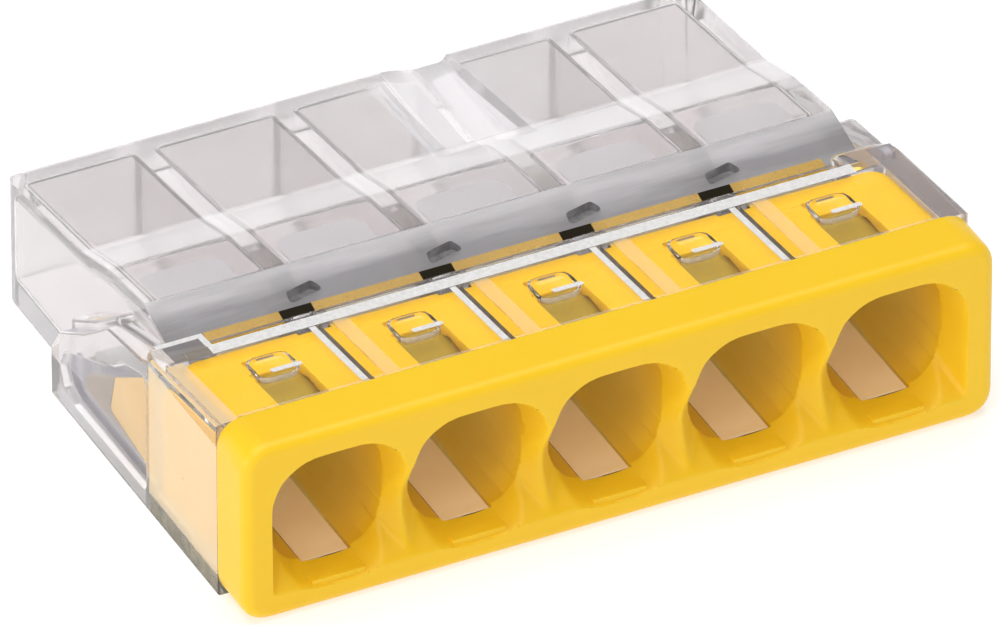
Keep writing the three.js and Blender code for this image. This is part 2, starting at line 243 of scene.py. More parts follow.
# ---- wire-entry insert ----
FLANGE_DEPTH = 1.6
FLANGE_CORNER = 0.85
FLANGE_EDGE = 0.32
HOUSING_FRONT = FLANGE_DEPTH + 0.012  # the clear housing starts just behind the flange
FRONT_TOP = 5.4
BAR_FRONT = 5.0
BAR_REAR = 5.45
BAR_TOP = 5.02
TOP_SLOPE = (BAR_TOP - FRONT_TOP) / (BAR_FRONT - HOUSING_FRONT)
COVER = 0.45  # thickness of the clear cover over the insert
SIDE_WALL = 0.5
WING_INNER = 0.9
FLOOR = 0.6
BODY_END = 5.95
BODY_STEP_Z = 4.05  # height of the step behind the plateau
TRAY_END = 10.65
TRAY_TOP = 1.1
PLATEAU_END = 5.36
WINDOW_HALF = 0.725  # half the width of the windows over and under an entry
WINDOW_FLOOR = 4.3
PAD_START = 0.9  # the housing's pads fill these windows in the insert's floor
PAD_END = 5.0
PAD_TOP = 0.88
PAD_BOTTOM = 0.3
PAD_EDGE = 0.03
PAD_WINDOW_BOTTOM = 0.25
WINDOW_MIDDLE = 2.6  # the upper windows end here, and the lower ones start
GAP_LEFT = -0.75  # the gaps between the tubes, from the line between two poles
GAP_RIGHT = 0.2
GAP_START = 5.12
GAP_BOTTOM = 3.2
LUG_START = 3.4
LUG_END = 4.58
LUG_BOTTOM = 4.45
LUG_HALF = 0.62
LUG_CORNER = 0.4
LUG_EDGE = 0.2
LUG_POCKET_HALF = 0.65
LUG_POCKET_FRONT = LUG_START - 0.1
LUG_POCKET_REAR = LUG_END + 0.02
LUG_POCKET_CORNER = 0.08
UPPER_INSET = 0.12  # of the insert's plateau behind its sides
UPPER_CORNER = 0.65
UPPER_EDGE = 0.15
LOWER_END = 5.57
LOWER_CORNER = 0.3
LOWER_EDGE = 0.2
TUBE_EDGE = 0.15
BODY_START = 1.3  # inside the flange
TILTED_ABOVE = 3  # what is higher follows the cover's slope
TRAY_START = 5.5
TRAY_EDGE = 0.08
CHEEK_THICKNESS = 0.3
INSERT_EDGE = 0.04


def cover_z(y):
    """Height of the clear cover's top over the insert."""
    return FRONT_TOP + TOP_SLOPE * (y - HOUSING_FRONT)


def tilt_top(obj, above):
    """Tilts everything above a height down towards the rear, along the cover's slope."""
    for vertex in obj.data.vertices:
        if vertex.co.z > above:
            vertex.co.z += TOP_SLOPE * (vertex.co.y - HOUSING_FRONT)
    return obj


# The right half of a wire entry's passage, (half width, height), from its floor round to its ceiling.
PASSAGE = (
    (0.72, 0.90), (1.14, 1.06), (1.46, 1.48), (1.63, 2.05), (1.66, 3.55), (1.45, 4.08), (0.85, 4.45),
)
PASSAGE_START = 1.0
TAPER_START = 3.4
THROAT_START = 5.1
THROAT_SIZE = 0.68  # the throat's size, as a share of the passage's
MOUTH_CENTRE = 2.3  # height of the centre of the round mouths
MOUTH_RADIUS = 2.6
MOUTH_SLOPE = 1.15
MOUTH_TOP = 4.77
TOP_STEEPNESS = 3.0
MOUTH_BOTTOM = 0.72
SILL_SLOPE = 1.3
MOUTH_SHOULDER = (0.861, 0.507, 2.38)  # its upper corners are flattened: a*x + b*z < c from its centre
END_MOUTH = 1.95  # the outer side of the first and last mouth, from the pole's centre
EDGE_STEEPNESS = 3.6
EDGE_REACH = 0.32
CORNER_SOFTNESS = 0.10
BLEND = 0.08
LIP_SOFTNESS = 0.04  # rounding of a mouth's rim
FLARE_GRID = 0.06
FLARE_MARGIN = 0.5  # between the ends of the front face and the grid
FLARE_LOW = 0.3
FLARE_HIGH = 5.1
DEEPEST_EDGE = 1.5 * PASSAGE_START  # a mouth's surface goes no further back
PASSAGE_CORNER = 0.2
THROAT_END = 8.0
STRIP_HALF = 0.78  # the flat floor strip in a mouth
STRIP_START = 0.1
STRIP_EDGE = 0.03
STRIP_TOP = 0.8
WINDOW_END = 3.9
WINDOW_FLOOR_THICKNESS = 0.12
WINDOW_FLOOR_SIDE = 0.1


def passage_outline(pole, size=1.0):
    """Counter-clockwise from the right end of the floor."""
    x = pole_x(pole)
    corners = [(a * size, MOUTH_CENTRE + (b - MOUTH_CENTRE) * size) for a, b in PASSAGE]
    return [(x + a, b) for a, b in corners] + [(x - a, b) for a, b in reversed(corners)]


def outside(outline, x, z):
    """Distance of the points (x, z) outside an outline, with its corners rounded off."""
    sides = []
    for (x0, z0), (x1, z1) in zip(outline, outline[1:] + outline[:1]):
        sides.append(((x - x0) * (z1 - z0) - (z - z0) * (x1 - x0)) / np.hypot(x1 - x0, z1 - z0))
    return soft_max(sides, CORNER_SOFTNESS)


def soft_max(values, softness):
    return softness * np.log(sum(np.exp(np.clip(v / softness, -60, 60)) for v in values))


def soft_min(values, softness):
    return -soft_max([-v for v in values], softness)


def mouth_depth(pole, x, z):
    """How far a mouth's surface lies behind the front face."""
    centre = pole_x(pole)
    across, up, reach = MOUTH_SHOULDER
    limits = [
        MOUTH_SLOPE * (MOUTH_RADIUS - np.hypot(x - centre, z - MOUTH_CENTRE)),
        MOUTH_SLOPE * (reach - across * np.abs(x - centre) - up * (z - MOUTH_CENTRE)),
        TOP_STEEPNESS * (MOUTH_TOP - z),
        SILL_SLOPE * (z - MOUTH_BOTTOM),
    ]
    if pole == 1:
        limits.append(TOP_STEEPNESS * (x - centre + END_MOUTH))
    if pole == 5:
        limits.append(TOP_STEEPNESS * (centre + END_MOUTH - x))
    edge = EDGE_STEEPNESS * (EDGE_REACH - outside(passage_outline(pole), x, z))
    return soft_max([soft_min(limits, BLEND), np.minimum(edge, DEEPEST_EDGE)], BLEND)


def flares():
    """The hollow of all the mouths, which blend where they meet."""
    xs = np.arange(FLARE_MARGIN, WIDTH - FLARE_MARGIN, FLARE_GRID)
    zs = np.arange(FLARE_LOW, FLARE_HIGH, FLARE_GRID)
    x, z = np.meshgrid(xs, zs, indexing="ij")
    merged = soft_max([mouth_depth(pole, x, z) for pole in POLES], BLEND)
    depths = soft_max([merged, np.zeros(x.shape)], LIP_SOFTNESS) - LIP_SOFTNESS
    return height_solid(xs.tolist(), zs.tolist(), depths.tolist(), -OVER / 2)


def passage(pole):
    """The hollow of an entry behind its mouth."""
    stretches = (
        (PASSAGE_START, 1), (TAPER_START, 1), (THROAT_START, THROAT_SIZE), (THROAT_END, THROAT_SIZE),
    )
    return loft([
        [(a, y, b) for a, b in rounded(passage_outline(pole, size), PASSAGE_CORNER, 3)]
        for y, size in stretches
    ])


def floor_strip(pole):
    """The flat floor that reaches forward through the mouth."""
    x = pole_x(pole)
    return block(
        x - STRIP_HALF, x + STRIP_HALF, STRIP_START, PAD_START, PAD_BOTTOM, STRIP_TOP, STRIP_EDGE, 3
    )


def window_floor(pole):
    """The floor of the window that an arm's lug latches into."""
    x = pole_x(pole)
    half = WINDOW_HALF + WINDOW_FLOOR_SIDE
    bottom = WINDOW_FLOOR - WINDOW_FLOOR_THICKNESS
    return block(x - half, x + half, HOUSING_FRONT + GAP, WINDOW_END + GAP, bottom, WINDOW_FLOOR)


def build_insert():
    """Flange, body, tubes and tray as one piece, hollowed out by the entries."""
    flange_outline = [(0, 0), (WIDTH, 0), (WIDTH, HEIGHT), (0, HEIGHT)]
    insert = prism(
        "y", rounded(flange_outline, FLANGE_CORNER, 8), 0, FLANGE_DEPTH, FLANGE_EDGE, 5, (True, False)
    )
    side = SIDE_WALL + GAP
    narrow = WING_INNER + GAP
    base = FLOOR + GAP
    plateau = FRONT_TOP - COVER - GAP

    def plan(x0, y1, radius):
        points = [(x0, BODY_START), (WIDTH - x0, BODY_START), (WIDTH - x0, y1), (x0, y1)]
        return rounded(points, [0, 0, radius, radius], 6)

    upper_plan = plan(side + UPPER_INSET, PLATEAU_END, UPPER_CORNER)
    upper = tilt_top(prism("z", upper_plan, base, plateau, UPPER_EDGE, 4), TILTED_ABOVE)
    lower = prism("z", plan(side, LOWER_END, LOWER_CORNER), base, BODY_STEP_Z - GAP, LOWER_EDGE, 3)
    tubes = prism("z", plan(narrow, BODY_END, TUBE_EDGE), base, BODY_STEP_Z - GAP, TUBE_EDGE, 3)
    tray = block(narrow, WIDTH - narrow, TRAY_START, TRAY_END, base, TRAY_TOP, TRAY_EDGE)
    cheek_outline = [
        (TRAY_START, base), (TRAY_START, 4.0), (5.9, 3.9), (7.4, 3.0), (10.0, 1.5),
        (TRAY_END, TRAY_TOP), (TRAY_END, base),
    ]
    cheeks = mirrored(
        lambda: prism("x", rounded(cheek_outline, 0.12, 3), narrow, narrow + CHEEK_THICKNESS, 0.06, 2)
    )
    join(insert, [upper, lower, tubes, tray, *cheeks])
    gaps = [
        block(wall_x(p) + GAP_LEFT, wall_x(p) + GAP_RIGHT, GAP_START, BODY_END + OVER, GAP_BOTTOM, HEIGHT)
        for p in INNER_WALLS
    ]
    cut(insert, gaps)
    windows = []
    for p in POLES:
        x = pole_x(p)
        left, right = x - WINDOW_HALF, x + WINDOW_HALF
        windows += [
            block(left, right, HOUSING_FRONT, WINDOW_END, WINDOW_MIDDLE, HEIGHT),
            block(
                x - LUG_POCKET_HALF, x + LUG_POCKET_HALF, LUG_POCKET_FRONT, LUG_POCKET_REAR,
                LUG_BOTTOM - GAP, HEIGHT, LUG_POCKET_CORNER, 2,
            ),
            block(left, right, PAD_START, PAD_END, PAD_WINDOW_BOTTOM, WINDOW_MIDDLE),
        ]
    cut(insert, windows)
    cut(insert, [passage(p) for p in POLES])
    soften(insert, INSERT_EDGE)
    cut(insert, [flares()])
    join(insert, [floor_strip(p) for p in POLES])
    return join(insert, [window_floor(p) for p in POLES])


TUBE_HALF = 1.72
SEEN = 0.06  # faces this close to a region's border still belong to it
THIN = 0.01  # faces this close to a height are at it


def paint_insert(insert):
    """The passages, the windows, the gaps and what the clear cover hides get painted light and shade: paler
    passages, darkened window floors, near-black gaps and a deeper yellow under the cover.
    """
    materials = [
        yellow_plastic(), passage_painted_light(), gap_painted_shade(), window_painted_shade(), covered_painted_shade()
    ]
    yellow, painted_passage, dark, window_shade, covered_shade = range(len(materials))
    insert.data.materials.clear()
    for material in materials:
        insert.data.materials.append(material)
    for face in insert.data.polygons:
        x, y, z = face.center
        in_gap = any(
            wall_x(p) + GAP_LEFT - SEEN < x < wall_x(p) + GAP_RIGHT + SEEN for p in INNER_WALLS
        )
        in_tube = min(abs(x - pole_x(p)) for p in POLES) < TUBE_HALF
        face.material_index = yellow
        # painted shade: the gaps between the tubes are near-black
        if in_gap and y > GAP_START - INSERT_EDGE / 2 and z > GAP_BOTTOM - SEEN:
            face.material_index = dark
        # painted shade: the windows' floors are darkened
        elif abs(z - WINDOW_FLOOR) < THIN and in_tube and y < WINDOW_END + WINDOW_FLOOR_SIDE:
            face.material_index = window_shade
        # painted light: the passages' yellow pales towards the throat
        elif in_tube and y > PASSAGE_START - 0.1 and z < WINDOW_FLOOR - THIN:
            face.material_index = painted_passage
        # painted shade: the yellow under the clear cover is deepened to offset its reflection
        elif y > HOUSING_FRONT and z > WINDOW_FLOOR + 0.1 and face.normal.z > 0.7:
            face.material_index = covered_shade


# ---- clear housing ----
WING_END = 11.74
REAR_INSET = 0.86
REAR_WALL = 0.4
REAR_ROOF = 0.4
RIDGE = (7.8, 5.1)
ROOF_BREAK = (10.0, 4.8)
SHOULDER = (11.6, 4.35)
REAR_TOP = 3.75
TROUGH_END = 6.1
TROUGH_TOP = 4.6
BUSBAR_TOP = 1.75
WING_EDGE = 0.28
REAR_EDGE = 0.35
REAR_CORNER = 0.75
REAR_RADII = (0, 0.15, 0.35, 1.5, 1.5, 0.4, 0.2, 0.05, 0.05, 0, 0)

WING_OUTLINE = (
    (HOUSING_FRONT, 0), (WING_END, 0), (WING_END, 1.5), (11.2, 2.3), (9.6, 3.25), (8.2, 4.32),
    (6.2, 4.6), (5.5, 4.9), (BAR_FRONT, BAR_TOP), (HOUSING_FRONT, FRONT_TOP),
)
WING_RADII = (0, 0.1, 0.3, 0.4, 0.5, 0.6, 0.3, 0.2, 0, 0)
WING_POCKET = (
    (5.9, 0.52), (10.3, 0.5), (10.9, 0.75), (11.15, 1.3), (10.95, 1.85), (8.3, 3.05), (7.4, 3.75),
    (5.9, 4.25),
)
WING_POCKET_DEPTH = 0.24
WING_POCKET_CORNER = 0.3
WING_POCKET_EDGE = 0.1
# A raised edge along the wing's slope, as (y, z).
WING_BEAD = ((8.3, 4.0), (8.45, 4.42), (9.75, 3.44), (11.35, 2.5), (11.3, 2.0), (9.6, 3.0))
WING_BEAD_START = 0.4
WING_BEAD_END = REAR_INSET + 0.2
WING_BEAD_CORNER = 0.14
WING_BEAD_EDGE = 0.12
CHEEK_PANE_CORNER = 0.15  # the pane is the part of the recess that shows the insert's cheek, in painted shade
CHEEK_PANE = ((6.05, 1.0), (8.6, 1.4), (8.3, 2.6), (6.05, 4.05))
END_BLOCK = 1.75  # at both ends the cover runs further back, over this width
END_BLOCK_REAR = 6.2
END_BLOCK_BOTTOM = 0.5
END_BLOCK_FRONT = 3
END_BLOCK_CORNERS = (0, 0, 0.12, 0.6)
END_BLOCK_EDGE = 0.08


def build_outer():
    """The housing's outside, still solid."""
    wings = prism("x", rounded(WING_OUTLINE, WING_RADII, 5), 0, WIDTH, WING_EDGE, 4)
    rear_outline = [
        (HOUSING_FRONT, 0), (DEPTH, 0), (DEPTH, REAR_TOP), SHOULDER, ROOF_BREAK, RIDGE,
        (TROUGH_END, TROUGH_TOP), (BAR_REAR, TROUGH_TOP), (BAR_REAR, BAR_TOP), (BAR_FRONT, BAR_TOP),
        (HOUSING_FRONT, FRONT_TOP),
    ]
    rear = prism(
        "x", rounded(rear_outline, REAR_RADII, 5), REAR_INSET, WIDTH - REAR_INSET, REAR_EDGE, 4
    )
    plan = [(REAR_INSET, 0), (WIDTH - REAR_INSET, 0), (WIDTH - REAR_INSET, DEPTH), (REAR_INSET, DEPTH)]
    column = prism("z", rounded(plan, [0, 0, REAR_CORNER, REAR_CORNER], 8), -OVER, HEIGHT + OVER)
    top = cover_z(HOUSING_FRONT)

    def end_block():
        outline = [
            (0, END_BLOCK_FRONT), (END_BLOCK, END_BLOCK_FRONT),
            (END_BLOCK, END_BLOCK_REAR), (0, END_BLOCK_REAR),
        ]
        corners = rounded(outline, END_BLOCK_CORNERS, 6)
        solid = prism("z", corners, END_BLOCK_BOTTOM, top, END_BLOCK_EDGE, 2)
        return tilt_top(solid, TILTED_ABOVE)

    def wing_pocket():
        outline = rounded(WING_POCKET, WING_POCKET_CORNER, 6)
        return prism("x", outline, -OVER, WING_POCKET_DEPTH, WING_POCKET_EDGE, 3, (False, True))

    def wing_bead():
        outline = rounded(WING_BEAD, WING_BEAD_CORNER, 4)
        return prism("x", outline, WING_BEAD_START, WING_BEAD_END, WING_BEAD_EDGE, 3, (True, False))

    outer = join(wings, [keep(rear, column), *mirrored(end_block), *mirrored(wing_bead)])
    return cut(outer, mirrored(wing_pocket))


POCKET_END = PLATEAU_END + 0.04
POCKET_CORNER = 0.08
POCKET_EDGE = 0.2
NARROW_START = 5.62  # from here on the pocket stays inside the wings
TRAY_ROOM_START = 5.7
TRAY_ROOM_END = TRAY_END + 0.1
TRAY_ROOM_TOP = BUSBAR_TOP + 0.1
CHEEK_ROOM = 0.4  # width of the room for a cheek
CHEEK_ROOM_EDGE = 0.05


def insert_pocket():
    """The hollow that holds the insert."""
    top = cover_z(PLATEAU_END) - COVER
    body_outline = [
        (HOUSING_FRONT - OVER, FLOOR), (BODY_END + GAP, FLOOR), (BODY_END + GAP, BODY_STEP_Z + GAP),
        (POCKET_END, BODY_STEP_Z + GAP), (POCKET_END, top),
        (HOUSING_FRONT - OVER, cover_z(HOUSING_FRONT - OVER) - COVER),
    ]
    corners = rounded(body_outline, POCKET_CORNER, 2)
    body = prism("x", corners, SIDE_WALL, WIDTH - SIDE_WALL, POCKET_EDGE, 3)
    cut(body, mirrored(lambda: block(0, WING_INNER, NARROW_START, BODY_END + OVER, -OVER, HEIGHT + OVER)))
    tray = block(
        WING_INNER, WIDTH - WING_INNER, TRAY_ROOM_START, TRAY_ROOM_END, FLOOR, TRAY_ROOM_TOP, 0.1
    )
    room_outline = [
        (TRAY_START, FLOOR), (TRAY_START, 4.1), (6.0, 4.05), (7.5, 3.1), (10.1, 1.6),
        (TRAY_ROOM_END, 1.2), (TRAY_ROOM_END, FLOOR),
    ]
    sides = rounded(room_outline, 0.15, 3)
    rooms = mirrored(
        lambda: prism("x", sides, WING_INNER, WING_INNER + CHEEK_ROOM, CHEEK_ROOM_EDGE, 2)
    )
    return join(body, [tray, *rooms])


CHAMBER_HALF = 1.78
CHAMBER_SIDE = 1.25  # the inner face of the rear compartment's end walls
CHAMBER_FRONT = BODY_END - 0.2
CHAMBER_RADII = (0, 0.3, 0.35, 1.2, 1.2, 0.5, 0)
CHAMBER_EDGE = 0.22


def chamber(pole):
    """The hollow of one pole in the rear compartment."""
    x = pole_x(pole)
    x0 = max(x - CHAMBER_HALF, CHAMBER_SIDE)
    x1 = min(x + CHAMBER_HALF, WIDTH - CHAMBER_SIDE)
    outline = [
        (CHAMBER_FRONT, FLOOR), (DEPTH - REAR_WALL, FLOOR), (DEPTH - REAR_WALL, REAR_TOP - REAR_ROOF),
        (SHOULDER[0], SHOULDER[1] - REAR_ROOF), (ROOF_BREAK[0], ROOF_BREAK[1] - REAR_ROOF),
        (RIDGE[0], RIDGE[1] - REAR_ROOF), (CHAMBER_FRONT, BODY_STEP_Z),
    ]
    return prism("x", rounded(outline, CHAMBER_RADII, 4), x0, x1, CHAMBER_EDGE, 3)


SCOOP_LEFT = (11.5, 3.85)  # x and z where its left side starts
SCOOP_BED = (12.87, 13.8)  # x of its floor's ends
SCOOP_RIGHT = 14.12
SCOOP_FLOOR = 3.43
SCOOP_FRONT = 12.25
SCOOP_FRONT_TOP = 10.9
SCOOP_WALL = 0.4


def scoop(margin):
    """The seat for a test probe, or with a margin the shell around it. Its left side falls gently."""
    bottom = SCOOP_FLOOR - margin
    left, left_z = SCOOP_LEFT
    bed_left, bed_right = SCOOP_BED
    section = [
        (left - margin, HEIGHT), (left - margin, left_z - margin), (bed_left, bottom), (bed_right, bottom),
        (SCOOP_RIGHT + margin, HEIGHT),
    ]
    radii = [0, 0.6 + margin, 0.7, 0.22 + margin, 0]
    groove = prism("y", rounded(section, radii, 8), 0, DEPTH + OVER)
    length = [
        (SCOOP_FRONT - margin, 0), (DEPTH + 2 * OVER, 0), (DEPTH + 2 * OVER, HEIGHT),
        (SCOOP_FRONT_TOP - margin, HEIGHT), (SCOOP_FRONT - margin, bottom),
    ]
    return keep(groove, prism("x", rounded(length, [0, 0, 0, 0, 0.5], 5), 0, WIDTH))


def latch_lug(pole):
    """The domed lug under each arm that drops into the insert's window."""
    x = pole_x(pole)
    top = cover_z(LUG_END) - COVER / 2
    left, right = x - LUG_HALF, x + LUG_HALF
    plan = [(left, LUG_START), (right, LUG_START), (right, LUG_END), (left, LUG_END)]
    return prism("z", rounded(plan, LUG_CORNER, 6), LUG_BOTTOM, top, LUG_EDGE, 5, (True, False))


def floor_pad(pole):
    """A pad that fills the window in the insert's floor."""
    x = pole_x(pole)
    half = WINDOW_HALF - GAP
    return block(
        x - half, x + half, PAD_START + GAP, PAD_END - GAP, PAD_BOTTOM, PAD_TOP, PAD_EDGE, 2
    )


NOTCH = ((-0.5, 6.55), (0.55, 6.75), (0.35, 7.1), (-0.45, 6.95))  # x from its middle, y
NOTCH_CORNER = 0.12
NOTCH_FLOOR = 4.62
NOTCH_OFFSET = 0.2  # of its middle, from the line between two poles


def notch(x):
    """A small recess in the roof's front slope, where a rib meets it."""
    plan = [(x + a, y) for a, y in NOTCH]
    return prism("z", rounded(plan, NOTCH_CORNER, 4), NOTCH_FLOOR, HEIGHT + OVER)


SLOT_OFFSET = -0.265  # the slots between the arms, from the line between two poles
SLOT_HALF = 0.065
SLOT_FRONT = 0.5
SLOT_BOTTOM = 4.3
SEAM = HOUSING_FRONT + 0.01  # strips and panels start here, behind the flange
ARM_FRONT = HOUSING_FRONT + 0.1
BAR_EDGE = BAR_REAR - 0.02
BAR_SIDE = 1.55  # from an end of the connector to the bar's top, where a highlight is painted
LEDGE = END_BLOCK_REAR - 0.24  # a painted highlight runs behind this on the left end block
LEDGE_INNER = END_BLOCK - 0.2
LEDGE_OUTER = END_BLOCK - 0.02
PLATE_DEPTH = 0.3  # how far a strip reaches into the cover
PLATE_RISE = 0.014  # and how far it stands proud
MARK_CORNER = 0.09
PANEL_DEPTH = 0.012  # the side panels lie this deep in the surface


def painted_strips():
    """Strips of the cover with their own finish, mostly painted highlights, reflection and shade: (finish,
    x0, x1, y0, y1).
    """
    made = [
        ("frosted", BAR_SIDE, WIDTH - BAR_SIDE, BAR_FRONT + 0.03, BAR_EDGE),
        ("frosted", 0.35, LEDGE_OUTER, LEDGE, END_BLOCK_REAR - 0.03),
        ("frosted", LEDGE_INNER, LEDGE_OUTER, BAR_EDGE, LEDGE),
        ("smoky", 0.5, LEDGE_INNER, BAR_FRONT + 0.05, LEDGE),
        ("milky", 0.7, WIDTH - 0.85, HOUSING_FRONT + 0.12, HOUSING_FRONT + 0.22),
        ("peach", 0.16, 0.66, SEAM, BAR_FRONT),
        ("shadow", WIDTH - 0.8, WIDTH - 0.1, SEAM, LEDGE),
    ]
    for p in INNER_WALLS:
        slot = wall_x(p) + SLOT_OFFSET
        made.append(("frosted", slot - 0.26, slot - 0.08, ARM_FRONT, BAR_FRONT))
        made.append(("milky", slot + 0.4, slot + 0.85, ARM_FRONT, BAR_FRONT))
    return made


def lug_highlight_and_shade():
    """A painted highlight and a painted shadow line over each lug, like the strips on the cover."""
    made = []
    for p in POLES:
        x = pole_x(p)
        made.append(("frosted", x - 0.32, x + 0.58, LUG_START - 0.02, LUG_START + 0.17))
        made.append(("dark", x - 0.4, x + 0.1, LUG_END - 0.45, LUG_END - 0.37))
    return made


def plate_reach(x0, x1):
    """How far back the cover keeps its slope under a strip."""
    return END_BLOCK_REAR if x1 < END_BLOCK or x0 > WIDTH - END_BLOCK else BAR_FRONT


def plate_solid(x0, x1, y0, y1, corner=0.0):
    """A strip a little higher than the cover, following its slope."""
    outline = rounded([(x0, y0), (x1, y0), (x1, y1), (x0, y1)], corner)
    solid = prism("z", outline, FRONT_TOP - PLATE_DEPTH, FRONT_TOP + PLATE_RISE)
    for vertex in solid.data.vertices:
        vertex.co.z += TOP_SLOPE * (min(vertex.co.y, plate_reach(x0, x1)) - HOUSING_FRONT)
    return solid


TROUGH_SIDE = 1.85
TROUGH_START = 5.55
TROUGH_REAR = 6.05
TROUGH_PLATE_SIDE = 1.9
BLACK_SHADE_LEFT = -0.72  # the parts of the trough's rear painted black as shade, from the line between two poles
BLACK_SHADE_RIGHT = 0.22
TROUGH_PLATE = ((5.95, 4.5), (6.42, 4.55), (6.42, 4.706), (6.1, 4.612), (5.95, 4.612))


def trough_painted_shade():
    """The strip at the rear of the trough, painted as the insert's yellow in shade, with black painted
    shade at the gaps: (finish, x0, x1).
    """
    ends = [TROUGH_PLATE_SIDE]
    for p in INNER_WALLS:
        ends += [wall_x(p) + BLACK_SHADE_LEFT, wall_x(p) + BLACK_SHADE_RIGHT]
    ends.append(WIDTH - TROUGH_PLATE_SIDE)
    return [("black_shade" if i % 2 else "amber_shade", a, b) for i, (a, b) in enumerate(zip(ends, ends[1:]))]


def painted_side_panels():
    """Regions of the outer sides with their own finish, painted reflection, shade and light: (finish, x,
    y0, y1, z0, z1).
    """
    return [
        ("peach", 0, SEAM, 5.75, 0.66, 4.72),
        ("olive_shade", 0, SEAM, 5.7, 0.08, 0.62),
        ("painted_bright", 0, 5.95, 11.3, 0.08, 0.6),
        ("painted_bright", REAR_INSET, 12.0, 15.6, 0.1, 0.8),
    ]


def build_housing():
    """The clear shell with its rear compartment, scoop, arms, lugs and pads."""
    housing = build_outer()
    core = housing.copy()
    core.data = housing.data.copy()
    bpy.context.scene.collection.objects.link(core)
    cut(housing, [insert_pocket()])
    cut(housing, [chamber(p) for p in POLES])
    join(housing, [keep(scoop(SCOOP_WALL), core)])
    cut(housing, [scoop(0)])
    slots = []
    for p in INNER_WALLS:
        x = wall_x(p) + SLOT_OFFSET
        slots.append(
            block(x - SLOT_HALF, x + SLOT_HALF, SLOT_FRONT, BAR_FRONT, SLOT_BOTTOM, HEIGHT + OVER)
        )
    slots.append(block(
        TROUGH_SIDE, WIDTH - TROUGH_SIDE, TROUGH_START, TROUGH_REAR, TRAY_TOP, HEIGHT + OVER, 0.1
    ))
    join(housing, [plate_solid(*sides) for _, *sides in painted_strips()])
    join(housing, [plate_solid(*sides, MARK_CORNER) for _, *sides in lug_highlight_and_shade()])
    cut(housing, slots)
    for _, x0, x1 in trough_painted_shade():
        join(housing, [prism("x", TROUGH_PLATE, x0, x1)])
    for _, x0, y0, y1, z0, z1 in painted_side_panels():
        cut(housing, mirrored(lambda: block(x0 - OVER, x0 + PANEL_DEPTH, y0, y1, z0, z1)))
    depth = WING_POCKET_DEPTH + PANEL_DEPTH
    cut(housing, mirrored(lambda: prism("x", rounded(CHEEK_PANE, CHEEK_PANE_CORNER, 4), -OVER, depth)))
    cut(housing, [notch(wall_x(p) + NOTCH_OFFSET) for p in INNER_WALLS])
    join(housing, [latch_lug(p) for p in POLES])
    join(housing, [floor_pad(p) for p in POLES])
    return housing


SCOOP_SPAN = (11, 14.8)  # x of the ends of the shell around the scoop
FLAT = 0.9  # a face turned this far one way counts as facing it
PANEL_NEAR = 0.004
STRIP_NEAR = 0.005


